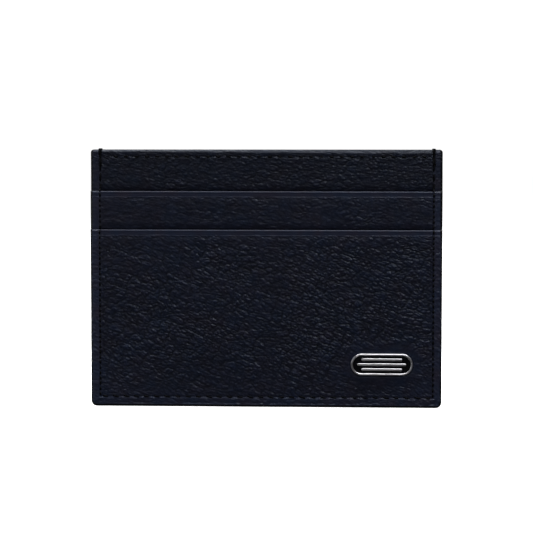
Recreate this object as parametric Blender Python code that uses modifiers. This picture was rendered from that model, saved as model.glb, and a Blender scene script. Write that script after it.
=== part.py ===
"""Leather card holder: two card pockets on each face, and one pocket between the two faces.

Units are metres. +X is right, +Z is up and the front faces -Y. The origin is in the middle of the
bottom edge, in the plane between the two faces, on the surface that the holder stands on.

Depths are distances from the plane between the faces. FRONT and BACK turn a depth into a y
position. The back repeats the front's layers, but only the front carries the badge.
"""

import math

import bmesh
import bpy

FRONT, BACK = -1, 1

# Outline
WIDTH = 0.100
HEIGHT = 0.0733
BOTTOM_RADIUS = 0.0017
TOP_RADIUS = 0.0010
COAT = 0.0003
CLEARANCE = 0.00005
LEATHER_EDGE = 0.00018
COAT_EDGE = 0.00010

# Heights of the pockets' mouths and ends
UPPER_SLOT = 0.0615
LOWER_SLOT = 0.0506
UPPER_LEATHER_END = 0.0423
UPPER_LINING_TOP = 0.0580
UPPER_LINING_END = 0.0130
UPPER_SEAM = 0.0150

# Layers, from the middle outwards
LEATHER = 0.00075
LINING = 0.00015
MIDDLE_GAP = 0.0003
GLUE_GAP = 0.00008
CARD_GAP = 0.00012
LINING_INSET = 0.0012


def layer_over(inner_layer, gap, thickness):
    """The near and far depths of a layer that lies outside another."""
    near = inner_layer[1] + gap
    return near, near + thickness


MIDDLE = (0.0, MIDDLE_GAP / 2)
PANEL_LINING = layer_over(MIDDLE, 0.0, LINING)
PANEL = layer_over(PANEL_LINING, GLUE_GAP, LEATHER)
UPPER_LINING = layer_over(PANEL, CARD_GAP, LINING)
UPPER_POCKET = layer_over(UPPER_LINING, GLUE_GAP, LEATHER)
LOWER_POCKET = layer_over(UPPER_POCKET, CARD_GAP, LEATHER)

# Stitching: a round thread in a channel, just below the surface
THREAD = 0.00036
THREAD_SINK = 0.00020
CHANNEL_WIDTH = 0.0006
CHANNEL_DEPTH = 0.00045
THREAD_GAP = 0.0003
STEP_DOWN = 0.0012
SEAM_LEFT = -WIDTH / 2 + 0.00275
SEAM_RIGHT = WIDTH / 2 - 0.00250
SEAM_BOTTOM = 0.00290
TOP_ROW = HEIGHT - 0.0020
TOP_ROW_START = SEAM_LEFT + 0.0031
TOP_ROW_END = SEAM_RIGHT - 0.0010
UPPER_SEAM_INSET = 0.0040

# Badge: a capsule with a raised rim and plain bars, on two pins
BADGE_X = 0.0330
BADGE_Z = 0.0125
BADGE_LENGTH = 0.0176
BADGE_HEIGHT = 0.0062
BADGE_THICKNESS = 0.0007
BADGE_RIM = 0.0006
BADGE_RECESS = 0.0004
BADGE_EDGE = 0.00015
BADGE_BARS = ((0.0118, 0.00135), (0.0138, 0.0), (0.0118, -0.00135))
BAR_HEIGHT = 0.0006
ENAMEL = 0.00028
PIN_SPACING = 0.0100
PIN_RADIUS = 0.00035
BACKING_LENGTH = 0.0140
BACKING_HEIGHT = 0.0030
BACKING = 0.00015
BACKING_RADIUS = 0.0005

ARC_STEPS = 6
PIN_SIDES = 16
CUTTER_REACH = 0.002


def clear_scene():
    for obj in list(bpy.data.objects):
        bpy.data.objects.remove(obj, do_unlink=True)


def new_collection(name):
    collection = bpy.data.collections.new(name)
    bpy.context.scene.collection.children.link(collection)
    return collection


def new_material(name, colour, roughness, metallic=0.0):
    material = bpy.data.materials.new(name)
    material.use_nodes = True
    shader = material.node_tree.nodes["Principled BSDF"]
    shader.inputs["Base Color"].default_value = (*colour, 1.0)
    shader.inputs["Roughness"].default_value = roughness
    shader.inputs["Metallic"].default_value = metallic
    return material


def arc(centre_x, centre_y, radius, start, end):
    """Points on an arc, from one angle in degrees to another."""
    points = []
    for step in range(ARC_STEPS + 1):
        angle = math.radians(start + (end - start) * step / ARC_STEPS)
        points.append((centre_x + radius * math.cos(angle), centre_y + radius * math.sin(angle)))
    return points


def rounded_foot(left, right, low, radius):
    """The lower two corners of an outline, rounded."""
    return (
        arc(left + radius, low + radius, radius, 180, 270)
        + arc(right - radius, low + radius, radius, 270, 360)
    )


def rounded_rectangle(left, right, low, high, low_radius, high_radius):
    """A rectangle with one radius on its lower corners and another on its upper ones."""
    return (
        rounded_foot(left, right, low, low_radius)
        + arc(right - high_radius, high - high_radius, high_radius, 0, 90)
        + arc(left + high_radius, high - high_radius, high_radius, 90, 180)
    )


def rectangle(left, right, low, high):
    return [(left, low), (right, low), (right, high), (left, high)]


def seam_band(low, high):
    """A band along the side and bottom seams, open at the top."""
    half = CHANNEL_WIDTH / 2
    outer = rectangle(SEAM_LEFT - half, SEAM_RIGHT + half, low - half, high)
    inner = rectangle(SEAM_LEFT + half, SEAM_RIGHT - half, low + half, high)
    return [outer[3], outer[0], outer[1], outer[2], inner[2], inner[1], inner[0], inner[3]]


def mesh_from_curve(curve_object):
    """A mesh object in the curve's place, with its caps joined on and each flat side one face."""
    graph = bpy.context.evaluated_depsgraph_get()
    mesh = bpy.data.meshes.new_from_object(curve_object.evaluated_get(graph))
    shape = bmesh.new()
    shape.from_mesh(mesh)
    bmesh.ops.remove_doubles(shape, verts=shape.verts, dist=1e-7)
    bmesh.ops.dissolve_limit(
        shape, angle_limit=math.radians(0.5), verts=shape.verts, edges=shape.edges
    )
    bmesh.ops.recalc_face_normals(shape, faces=shape.faces)
    shape.to_mesh(mesh)
    shape.free()
    piece = bpy.data.objects.new(curve_object.name, mesh)
    piece.matrix_world = curve_object.matrix_world
    name = curve_object.name
    bpy.data.objects.remove(curve_object, do_unlink=True)
    piece.name = name
    return piece


def extruded(name, collection, outline, thickness, location, rotation):
    """A flat outline extruded to a thickness, half to each side of its plane."""
    curve = bpy.data.curves.new(name, "CURVE")
    curve.dimensions = "2D"
    curve.fill_mode = "BOTH"
    curve.extrude = thickness / 2
    spline = curve.splines.new("POLY")
    spline.points.add(len(outline) - 1)
    for point, (across, up) in zip(spline.points, outline):
        point.co = (across, up, 0.0, 1.0)
    spline.use_cyclic_u = True
    guide = bpy.data.objects.new(name, curve)
    guide.location = location
    guide.rotation_euler = rotation
    collection.objects.link(guide)
    bpy.context.view_layer.update()
    piece = mesh_from_curve(guide)
    collection.objects.link(piece)
    return piece


def sheet(name, collection, outline, layer, face):
    """A layer of the holder: an outline in X and Z between two depths of one face."""
    near, far = layer
    location = (0.0, face * (near + far) / 2, 0.0)
    return extruded(name, collection, outline, far - near, location, (math.pi / 2, 0.0, 0.0))


def round_edges(piece, width, segments=2):
    bevel = piece.modifiers.new("edges", "BEVEL")
    bevel.width = width
    bevel.segments = segments
    bevel.limit_method = "ANGLE"
    bevel.angle_limit = math.radians(50)


def boolean(piece, other, operation):
    modifier = piece.modifiers.new(other.name, "BOOLEAN")
    modifier.operation = operation
    modifier.solver = "EXACT"
    modifier.object = other


def as_cutter(obj):
    obj.hide_render = True
    obj.display_type = "WIRE"


def cut_channel(piece, outline, layer, face):
    """Cuts a shallow channel for thread into the outer side of a layer."""
    surface = layer[1]
    channel = (surface - CHANNEL_DEPTH, surface + CUTTER_REACH)
    cutter = sheet(piece.name + "_channel", cutters, outline, channel, face)
    as_cutter(cutter)
    boolean(piece, cutter, "DIFFERENCE")


def cut_side_channels(piece, low, high, layer, face):
    for seam in (SEAM_LEFT, SEAM_RIGHT):
        left = seam - CHANNEL_WIDTH / 2
        cut_channel(piece, rectangle(left, left + CHANNEL_WIDTH, low, high), layer, face)


def inside_coat():
    """How far in from the outline the leather starts, and its half width there."""
    inset = COAT + CLEARANCE
    return inset, WIDTH / 2 - inset


def make_panel(side_name, face):
    inset, half = inside_coat()
    outline = rounded_rectangle(-half, half, inset, HEIGHT, BOTTOM_RADIUS - inset, TOP_RADIUS)
    piece = sheet(side_name + "_panel", parts, outline, PANEL, face)
    round_edges(piece, LEATHER_EDGE)
    cut_side_channels(piece, UPPER_SLOT, HEIGHT + CUTTER_REACH, PANEL, face)
    low = TOP_ROW - CHANNEL_WIDTH / 2
    row = rectangle(TOP_ROW_START, TOP_ROW_END, low, low + CHANNEL_WIDTH)
    cut_channel(piece, row, PANEL, face)
    return piece


def make_panel_lining(side_name, face):
    half = WIDTH / 2 - LINING_INSET
    outline = rectangle(-half, half, LINING_INSET, HEIGHT - LINING_INSET / 2)
    return sheet(side_name + "_panel_lining", parts, outline, PANEL_LINING, face)


def make_upper_pocket(side_name, face):
    half = inside_coat()[1]
    outline = rectangle(-half, half, UPPER_LEATHER_END, UPPER_SLOT)
    piece = sheet(side_name + "_upper_pocket", parts, outline, UPPER_POCKET, face)
    round_edges(piece, LEATHER_EDGE)
    cut_side_channels(piece, LOWER_SLOT, UPPER_SLOT + CUTTER_REACH, UPPER_POCKET, face)
    return piece


def make_upper_pocket_lining(side_name, face):
    half = WIDTH / 2 - LINING_INSET
    outline = rectangle(-half, half, UPPER_LINING_END, UPPER_LINING_TOP)
    return sheet(side_name + "_upper_pocket_lining", parts, outline, UPPER_LINING, face)


def make_lower_pocket(side_name, face):
    inset, half = inside_coat()
    outline = rounded_foot(-half, half, inset, BOTTOM_RADIUS - inset)
    outline += [(half, LOWER_SLOT), (-half, LOWER_SLOT)]
    piece = sheet(side_name + "_lower_pocket", parts, outline, LOWER_POCKET, face)
    round_edges(piece, LEATHER_EDGE)
    if face == FRONT:
        cut_badge_seat(piece)
    band = seam_band(SEAM_BOTTOM, LOWER_SLOT + CUTTER_REACH)
    cut_channel(piece, band, LOWER_POCKET, face)
    return piece


def thread(name, route, face):
    """A round thread along points given as x, depth and z."""
    curve = bpy.data.curves.new(name, "CURVE")
    curve.dimensions = "3D"
    curve.bevel_depth = THREAD / 2
    curve.bevel_resolution = 2
    curve.use_fill_caps = True
    spline = curve.splines.new("POLY")
    spline.points.add(len(route) - 1)
    for point, (x, depth, z) in zip(spline.points, route):
        point.co = (x, face * depth, z, 1.0)
    piece = bpy.data.objects.new(name, curve)
    parts.objects.link(piece)
    return piece


def side_route(x):
    """From the middle plane over the top edge, then down past both pocket mouths."""
    over = HEIGHT + THREAD / 2 + CLEARANCE
    step = THREAD / 2 + THREAD_GAP / 2
    on_panel = PANEL[1] - THREAD_SINK
    on_upper = UPPER_POCKET[1] - THREAD_SINK
    on_lower = LOWER_POCKET[1] - THREAD_SINK
    return [
        (x, THREAD_GAP / 2, over),
        (x, on_panel - CLEARANCE, over),
        (x, on_panel, over - CLEARANCE),
        (x, on_panel, UPPER_SLOT + STEP_DOWN),
        (x, on_upper, UPPER_SLOT + step),
        (x, on_upper, LOWER_SLOT + STEP_DOWN),
        (x, on_lower, LOWER_SLOT + step),
        (x, on_lower, SEAM_BOTTOM),
    ]


def make_perimeter_thread(side_name, face):
    route = side_route(SEAM_LEFT) + side_route(SEAM_RIGHT)[::-1]
    return thread("perimeter_thread_" + side_name, route, face)


def make_top_thread(side_name, face):
    depth = PANEL[1] - THREAD_SINK
    ends = (TOP_ROW_START + THREAD, TOP_ROW_END - THREAD)
    return thread("top_thread_" + side_name, [(x, depth, TOP_ROW) for x in ends], face)


def make_upper_pocket_thread(side_name, face):
    """The hidden row that closes the upper pocket, on the front of its lining."""
    depth = UPPER_LINING[1] + THREAD / 2 + CLEARANCE
    half = WIDTH / 2 - UPPER_SEAM_INSET
    route = [(x, depth, UPPER_SEAM) for x in (-half, half)]
    return thread(side_name + "_upper_pocket_thread", route, face)


def make_side_coat(side_name, side):
    """The paint on one side edge, as wide as the stack of layers at each height."""
    low = BOTTOM_RADIUS + 2 * CLEARANCE
    high = HEIGHT - TOP_RADIUS
    lower, upper, panel = LOWER_POCKET[1], UPPER_POCKET[1], PANEL[1]
    half = [
        (lower, low), (lower, LOWER_SLOT), (upper, LOWER_SLOT),
        (upper, UPPER_SLOT), (panel, UPPER_SLOT), (panel, high),
    ]
    outline = half + [(-depth, z) for depth, z in reversed(half)]
    location = (side * (WIDTH - COAT) / 2, 0.0, 0.0)
    rotation = (math.pi / 2, 0.0, math.pi / 2)
    piece = extruded("edge_coat_" + side_name, parts, outline, COAT, location, rotation)
    round_edges(piece, COAT_EDGE)
    return piece


def make_bottom_coat():
    """The paint along the bottom edge and round the two lower corners."""
    half, radius = WIDTH / 2, BOTTOM_RADIUS
    outer = arc(radius - half, radius, radius, 180, 270) + arc(half - radius, radius, radius, 270, 360)
    inner = (
        arc(half - radius, radius, radius - COAT, 360, 270)
        + arc(radius - half, radius, radius - COAT, 270, 180)
    )
    both_faces = (-LOWER_POCKET[1], LOWER_POCKET[1])
    piece = sheet("edge_coat_bottom", parts, outer + inner, both_faces, FRONT)
    round_edges(piece, COAT_EDGE)
    return piece


def capsule(length, height):
    """A rectangle with fully round ends, centred on the badge."""
    half = length / 2
    return rounded_rectangle(
        BADGE_X - half, BADGE_X + half, BADGE_Z - height / 2, BADGE_Z + height / 2,
        height / 2 - CLEARANCE, height / 2 - CLEARANCE,
    )


def cut_bars(piece, layer, margin):
    """Leaves the badge's bars standing, by cutting them out of what fills the recess."""
    for length, rise in BADGE_BARS:
        half_length, half_height = length / 2 + margin, BAR_HEIGHT / 2 + margin
        outline = rectangle(
            BADGE_X - half_length, BADGE_X + half_length,
            BADGE_Z + rise - half_height, BADGE_Z + rise + half_height,
        )
        deep = (layer[0] - CUTTER_REACH, layer[1] + CUTTER_REACH)
        bar = sheet(piece.name + "_bar", cutters, outline, deep, FRONT)
        as_cutter(bar)
        boolean(piece, bar, "DIFFERENCE")


def pin(name, x, radius, layer, collection):
    """A round pin or hole across a layer of the front face."""
    near, far = layer
    bpy.ops.mesh.primitive_cylinder_add(
        vertices=PIN_SIDES, radius=radius, depth=far - near,
        location=(x, FRONT * (near + far) / 2, BADGE_Z), rotation=(math.pi / 2, 0.0, 0.0),
    )
    piece = bpy.context.object
    piece.name = name
    for owner in list(piece.users_collection):
        owner.objects.unlink(piece)
    collection.objects.link(piece)
    return piece


def pin_places():
    return BADGE_X - PIN_SPACING / 2, BADGE_X + PIN_SPACING / 2


def cut_pin_holes(piece, layer):
    deep = (layer[0] - CUTTER_REACH, layer[1] + CUTTER_REACH)
    for x in pin_places():
        hole = pin(piece.name + "_hole", x, PIN_RADIUS + 2 * CLEARANCE, deep, cutters)
        as_cutter(hole)
        boolean(piece, hole, "DIFFERENCE")


def backing_outline(margin):
    half_length, half_height = BACKING_LENGTH / 2 + margin, BACKING_HEIGHT / 2 + margin
    return rounded_rectangle(
        BADGE_X - half_length, BADGE_X + half_length,
        BADGE_Z - half_height, BADGE_Z + half_height, BACKING_RADIUS, BACKING_RADIUS,
    )


def cut_badge_seat(leather):
    """Holes for the badge's pins, and a shallow seat for the backing on the leather's inner side."""
    cut_pin_holes(leather, LOWER_POCKET)
    seat = (LOWER_POCKET[0] - CUTTER_REACH, LOWER_POCKET[0] + BACKING + 2 * CLEARANCE)
    cutter = sheet("badge_seat", cutters, backing_outline(2 * CLEARANCE), seat, FRONT)
    as_cutter(cutter)
    boolean(leather, cutter, "DIFFERENCE")


def make_badge_plate():
    back = LOWER_POCKET[1] + CLEARANCE
    front = back + BADGE_THICKNESS
    piece = sheet("badge_plate", parts, capsule(BADGE_LENGTH, BADGE_HEIGHT), (back, front), FRONT)
    round_edges(piece, BADGE_EDGE)
    recess_layer = (front - BADGE_RECESS, front + CUTTER_REACH)
    inside = capsule(BADGE_LENGTH - 2 * BADGE_RIM, BADGE_HEIGHT - 2 * BADGE_RIM)
    recess = sheet("badge_recess", cutters, inside, recess_layer, FRONT)
    as_cutter(recess)
    cut_bars(recess, recess_layer, 0.0)
    boolean(piece, recess, "DIFFERENCE")
    pin_layer = (LOWER_POCKET[0] + 2 * CLEARANCE, back + BADGE_RECESS / 2)
    for x in pin_places():
        joined = pin("badge_pin", x, PIN_RADIUS, pin_layer, cutters)
        as_cutter(joined)
        boolean(piece, joined, "UNION")
    return piece


def make_badge_enamel():
    floor = LOWER_POCKET[1] + CLEARANCE + BADGE_THICKNESS - BADGE_RECESS
    layer = (floor + CLEARANCE, floor + CLEARANCE + ENAMEL)
    margin = 2 * (BADGE_RIM + CLEARANCE)
    outline = capsule(BADGE_LENGTH - margin, BADGE_HEIGHT - margin)
    piece = sheet("badge_enamel", parts, outline, layer, FRONT)
    cut_bars(piece, layer, CLEARANCE)
    return piece


def make_badge_backing():
    layer = layer_over((0.0, LOWER_POCKET[0]), CLEARANCE, BACKING)
    piece = sheet("badge_backing", parts, backing_outline(0.0), layer, FRONT)
    cut_pin_holes(piece, layer)
    return piece


clear_scene()
parts = new_collection("card_holder")
cutters = new_collection("cutters")

leather = new_material("leather", (0.0090, 0.0105, 0.0175), 0.50)
lining = new_material("lining", (0.0080, 0.0080, 0.0110), 0.85)
thread_black = new_material("thread", (0.0030, 0.0030, 0.0045), 0.55)
edge_paint = new_material("edge_paint", (0.0040, 0.0045, 0.0075), 0.30)
silver = new_material("silver", (0.80, 0.78, 0.80), 0.22, metallic=1.0)
enamel = new_material("enamel", (0.0030, 0.0030, 0.0040), 0.12)
steel = new_material("steel", (0.55, 0.55, 0.56), 0.35, metallic=1.0)

made = []
for side_name, face in (("front", FRONT), ("back", BACK)):
    made.append((make_panel(side_name, face), leather))
    made.append((make_panel_lining(side_name, face), lining))
    made.append((make_upper_pocket(side_name, face), leather))
    made.append((make_upper_pocket_lining(side_name, face), lining))
    made.append((make_lower_pocket(side_name, face), leather))
    made.append((make_perimeter_thread(side_name, face), thread_black))
    made.append((make_top_thread(side_name, face), thread_black))
    made.append((make_upper_pocket_thread(side_name, face), thread_black))
made.append((make_side_coat("left", -1), edge_paint))
made.append((make_side_coat("right", 1), edge_paint))
made.append((make_bottom_coat(), edge_paint))
made.append((make_badge_plate(), silver))
made.append((make_badge_enamel(), enamel))
made.append((make_badge_backing(), steel))

for piece, finish in made:
    piece.data.materials.clear()
    piece.data.materials.append(finish)
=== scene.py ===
"""Looks for the leather card holder: grained leather, stitches, painted edges, linings and a badge."""

import math
from dataclasses import dataclass
from typing import Callable, Optional

import bpy
import numpy as np
from mathutils import Matrix, Vector


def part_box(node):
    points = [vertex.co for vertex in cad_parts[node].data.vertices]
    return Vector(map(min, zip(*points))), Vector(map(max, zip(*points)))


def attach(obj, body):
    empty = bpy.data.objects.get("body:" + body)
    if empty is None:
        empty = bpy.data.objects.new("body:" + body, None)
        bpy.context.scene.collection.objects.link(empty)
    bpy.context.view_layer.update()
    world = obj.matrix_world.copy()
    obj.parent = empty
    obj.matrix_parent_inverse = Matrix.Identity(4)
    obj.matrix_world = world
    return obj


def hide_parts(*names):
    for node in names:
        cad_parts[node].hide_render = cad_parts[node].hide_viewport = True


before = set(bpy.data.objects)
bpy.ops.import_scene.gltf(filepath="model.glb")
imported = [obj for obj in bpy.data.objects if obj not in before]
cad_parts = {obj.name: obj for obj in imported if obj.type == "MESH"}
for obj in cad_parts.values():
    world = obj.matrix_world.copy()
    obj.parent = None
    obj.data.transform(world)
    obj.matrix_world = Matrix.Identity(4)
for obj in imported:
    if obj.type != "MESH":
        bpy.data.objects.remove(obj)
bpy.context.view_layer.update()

MM = 0.001

# Places taken from the frame. Depths are distances in front of the plane between the two faces.
panel_low, panel_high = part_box("front_panel")
upper_low, upper_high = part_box("front_upper_pocket")
lower_low, lower_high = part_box("front_lower_pocket")
thread_low, thread_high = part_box("perimeter_thread_front")
badge_low, badge_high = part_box("badge_plate")
_, coat_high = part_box("edge_coat_bottom")
row_low, row_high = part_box("top_thread_front")

HALF_WIDTH = coat_high.x
HALF_LEATHER = panel_high.x
HEIGHT = panel_high.z
UPPER_MOUTH = upper_high.z
LOWER_MOUTH = lower_high.z
PANEL_DEPTH = -panel_low.y
UPPER_DEPTH = -upper_low.y
LOWER_DEPTH = -lower_low.y
LEATHER = panel_high.y - panel_low.y
CAD_THREAD = row_high.z - row_low.z
SEAM_LEFT = thread_low.x + CAD_THREAD / 2
SEAM_RIGHT = thread_high.x - CAD_THREAD / 2
SEAM_BOTTOM = thread_low.z + CAD_THREAD / 2
TOP_ROW = (row_low.z + row_high.z) / 2

# Leather. Its foot stands a gap above the bottom edge, and the edge paint fills the gap.
PAINT_GAP = 0.20 * MM
LEATHER_FOOT = lower_low.z + PAINT_GAP
GRAIN_STEP = 0.175 * MM
FINE_STEP = 0.09 * MM
HIDDEN_STEP = 3.0 * MM
BOTTOM_CORNER = 1.35 * MM
TOP_CORNER = 0.55 * MM
MOUTH_ROUND = LEATHER / 2
TOP_ROUND = 0.66 * MM
TOP_ROUND_MORE = 0.33 * MM
TOP_ROW_REACH = 0.95 * MM
MARGIN_MOUTH_ROUND = 0.66 * MM
GRAIN_LONG = 1.55 * MM
GRAIN_SHORT = 0.80 * MM
GRAIN_HEIGHT = 0.34 * MM
SEAM_SINK = 0.20 * MM
LEDGE_DIP = 0.24 * MM
LEDGE_REACH = 2.0 * MM
SEAM_WIDTH = 0.34 * MM
HOLE_SINK = 0.15 * MM
MARGIN_DROP = 0.22 * MM
MARGIN_ROUND = 0.8 * MM
MARGIN_EASE = 0.4 * MM
CREASE_BELOW = 1.45 * MM
SMOOTH_LEVEL = 0.75
SMOOTH_HEIGHT = 0.62
CUT_EDGE_SHADE = 0.6
TURNED_IN = (30, 60, 90)

# Thread
STITCH = 2.95 * MM
SIDE_STITCH = 1.48 * MM
THREAD = 0.54 * MM
SIDE_THREAD = 0.52 * MM
FINE_THREAD = 0.46 * MM
TOP_THREAD = 0.54 * MM
THREAD_SINK = 0.36 * MM
LONG_SHARE = 0.90
SIDE_SHARE = 0.66
SHORT_SHARE = 0.60
TOP_SHARE = 0.40
STITCH_RINGS = 17
STITCH_SIDES = 10
PLY_TURNS = 2.2

# Linings
CLOTH_STEP = 0.9 * MM

# Edge paint
PAINT_DEPTH = 0.52 * MM
PAINT_SIDES = 41
PAINT_CORNER_STEPS = 13
PAINT_BOTTOM_STEPS = 200

# Badge
BADGE_RIM = 0.62 * MM
BADGE_RECESS = 0.36 * MM
BAR_HEIGHT = 0.74 * MM
BARS = ((11.6 * MM, 1.42 * MM), (13.9 * MM, 0.0), (11.6 * MM, -1.42 * MM))
ENAMEL_STEPS = ((0.16 * MM, 0.0), (0.19 * MM, 0.15 * MM), (0.215 * MM, 0.4 * MM), (0.225 * MM, 0.8 * MM))

# Camera
LENS = 130.32
SENSOR = 36
CAMERA_TARGET = (0.00011, 0.0, 0.04001)
CAMERA_AWAY = 0.55
CAMERA_AZIMUTH = math.radians(2.8)
CAMERA_ELEVATION = math.radians(4.0)
CAMERA_ROLL = math.radians(0.02)


def hash01(i, j, seed):
    """A repeatable number from 0 to 1 for each pair of whole numbers."""
    mask = 0xFFFFFFFF
    n = (i.astype(np.int64) * 73856093) ^ (j.astype(np.int64) * 19349663) ^ (seed * 83492791)
    n &= mask
    n = ((n ^ (n >> 13)) * 1274126177) & mask
    n = ((n ^ (n >> 15)) * 668265263) & mask
    return ((n ^ (n >> 16)) & 0xFFFFFF) / float(0xFFFFFF)


def noise(x, y, seed):
    """Smooth noise from -1 to 1, with features about one unit across."""
    i, j = np.floor(x), np.floor(y)
    u, v = x - i, y - j
    u, v = u * u * (3 - 2 * u), v * v * (3 - 2 * v)
    a, b = hash01(i, j, seed), hash01(i + 1, j, seed)
    c, d = hash01(i, j + 1, seed), hash01(i + 1, j + 1, seed)
    return 2 * (a + (b - a) * u + (c - a) * v + (a - b - c + d) * u * v) - 1


def smooth_step(low, high, value):
    t = np.clip((value - low) / (high - low), 0, 1)
    return t * t * (3 - 2 * t)


def bell(value, width):
    return np.exp(-((value / width) ** 2))


def cells(p, q, seed):
    """For each point: the distance to its nearest cell wall in cell units, and its cell's own number."""
    i0, j0 = np.floor(p), np.floor(q)
    near = np.full(p.shape, 9.0)
    second = np.full(p.shape, 9.0)
    own = np.zeros(p.shape)
    for di in (-1, 0, 1):
        for dj in (-1, 0, 1):
            i, j = i0 + di, j0 + dj
            cx = i + 0.5 + 0.80 * (hash01(i, j, seed) - 0.5)
            cy = j + 0.5 + 0.80 * (hash01(i, j, seed + 1) - 0.5)
            distance = np.hypot(p - cx, q - cy)
            closer = distance < near
            second = np.where(closer, near, np.minimum(second, distance))
            own = np.where(closer, hash01(i, j, seed + 2), own)
            near = np.where(closer, distance, near)
    return second - near, own


def pebble(p, q, seed):
    """Domes with a crease round each, every one of its own height."""
    wall, own = cells(p, q, seed)
    return (1 - (1 - np.clip(wall / 0.8, 0, 1)) ** 2) * (0.45 + 0.55 * own)


def grain(x, z, angle, bend, seed):
    """Pebble grain, from 0 in the creases to about 1 on the pebbles.

    Its rows tilt by angle, and bend turns them further the further they are from the middle.
    """
    drift = 1.1 * MM * noise(x / (17 * MM), z / (13 * MM), seed + 11) - bend * x * x / 2
    stretch_x = 1.1 * MM * noise(x / (6.5 * MM), z / (4.5 * MM), seed + 14)
    stretch_z = 0.35 * MM * noise(x / (5.5 * MM), z / (3.5 * MM), seed + 15)
    wobble_x = 0.30 * MM * noise(x / (2.1 * MM), z / (1.5 * MM), seed + 12)
    wobble_z = 0.17 * MM * noise(x / (1.9 * MM), z / (1.6 * MM), seed + 13)
    x, z = x + stretch_x + wobble_x, z + drift + stretch_z + wobble_z
    c, s = math.cos(angle), math.sin(angle)
    p, q = (x * c + z * s) / GRAIN_LONG, (z * c - x * s) / GRAIN_SHORT
    broad = pebble(0.50 * p + 5, 0.46 * q + 9, seed + 8)
    middle = pebble(p, q, seed)
    fine = pebble(1.7 * p + 7, 1.7 * q + 3, seed + 5)
    return 0.46 * broad + 0.52 * middle + 0.30 * fine


def spaced(low, high, step_at):
    """Coordinates from low to high whose spacing follows step_at."""
    values = [low]
    while values[-1] < high:
        values.append(values[-1] + step_at(values[-1]))
    values = np.array(values)
    return low + (values - low) * (high - low) / (values[-1] - low)


def fine_near(places, coarse, reach=0.8 * MM):
    """A spacing that is fine near some places and coarse away from them."""
    def step_at(value):
        near = min(abs(value - place) for place in places)
        share = min(max((near - reach) / reach, 0.0), 1.0)
        return FINE_STEP + (coarse - FINE_STEP) * share
    return step_at


def grid_faces(rows, columns):
    index = np.arange(rows * columns).reshape(rows, columns)
    corners = [index[:-1, :-1], index[:-1, 1:], index[1:, 1:], index[1:, :-1]]
    return np.stack(corners, axis=-1).reshape(-1, 4)


def border_of(rows, columns):
    """The grid's outer points in order: bottom, right, top, left."""
    index = np.arange(rows * columns).reshape(rows, columns)
    return np.concatenate([index[0, :-1], index[:-1, -1], index[-1, :0:-1], index[:0:-1, 0]])


def ring_faces(first, second):
    """Quads between two closed loops of point numbers."""
    return np.stack([first, second, np.roll(second, -1), np.roll(first, -1)], axis=-1)


def mesh_object(name, points, faces, material, turn=None, sharp=55, attributes=None):
    points = np.asarray(points, np.float32)
    sizes = np.array([len(face) for face in faces], np.int32)
    mesh = bpy.data.meshes.new(name)
    mesh.vertices.add(len(points))
    mesh.vertices.foreach_set("co", points.ravel())
    mesh.loops.add(int(sizes.sum()))
    mesh.loops.foreach_set("vertex_index", np.concatenate(faces).astype(np.int32))
    mesh.polygons.add(len(sizes))
    mesh.polygons.foreach_set("loop_start", np.concatenate([[0], np.cumsum(sizes)[:-1]]).astype(np.int32))
    mesh.update(calc_edges=True)
    for key, values in (attributes or {}).items():
        layer = mesh.attributes.new(key, "FLOAT", "POINT")
        layer.data.foreach_set("value", np.asarray(values, np.float32))
    if turn is not None:
        mesh.transform(turn)
    mesh.validate()
    mesh.shade_smooth()
    mesh.set_sharp_from_angle(angle=math.radians(sharp))
    mesh.materials.append(material)
    piece = bpy.data.objects.new(name, mesh)
    bpy.context.scene.collection.objects.link(piece)
    return piece


# ---------------- materials


def shader_material(name, colour, roughness, metallic=0.0, specular=0.5):
    material = bpy.data.materials.new(name)
    material.use_nodes = True
    shader = material.node_tree.nodes["Principled BSDF"]
    shader.inputs["Base Color"].default_value = (*colour, 1)
    shader.inputs["Roughness"].default_value = roughness
    shader.inputs["Metallic"].default_value = metallic
    shader.inputs["Specular IOR Level"].default_value = specular
    return material, shader


def node(material, kind, **values):
    made = material.node_tree.nodes.new(kind)
    for key, value in values.items():
        if key in made.inputs:
            made.inputs[key].default_value = value
        else:
            setattr(made, key, value)
    return made


def link(material, source, target):
    material.node_tree.links.new(source, target)


def object_place(material):
    return node(material, "ShaderNodeTexCoord").outputs["Object"]


def noise_texture(material, scale, detail=3.0, roughness=0.55):
    texture = node(material, "ShaderNodeTexNoise", Scale=scale, Detail=detail, Roughness=roughness)
    link(material, object_place(material), texture.inputs["Vector"])
    return texture.outputs["Fac"]


def ramp(material, source, low, high, start=0.3, end=0.7):
    """Maps a value to a colour or a grey between two stops."""
    made = node(material, "ShaderNodeValToRGB")
    link(material, source, made.inputs["Fac"])
    stops = made.color_ramp.elements
    stops[0].position, stops[1].position = start, end
    stops[0].color = (*low, 1) if isinstance(low, tuple) else (low, low, low, 1)
    stops[1].color = (*high, 1) if isinstance(high, tuple) else (high, high, high, 1)
    return made.outputs["Color"]


def bump(material, shader, height, distance, strength=1.0, before=None):
    made = node(material, "ShaderNodeBump", Strength=strength, Distance=distance)
    link(material, height, made.inputs["Height"])
    if before is not None:
        link(material, before, made.inputs["Normal"])
    link(material, made.outputs["Normal"], shader.inputs["Normal"])
    return made.outputs["Normal"]


def attribute_value(material, name):
    return node(material, "ShaderNodeAttribute", attribute_name=name).outputs["Fac"]


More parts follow.
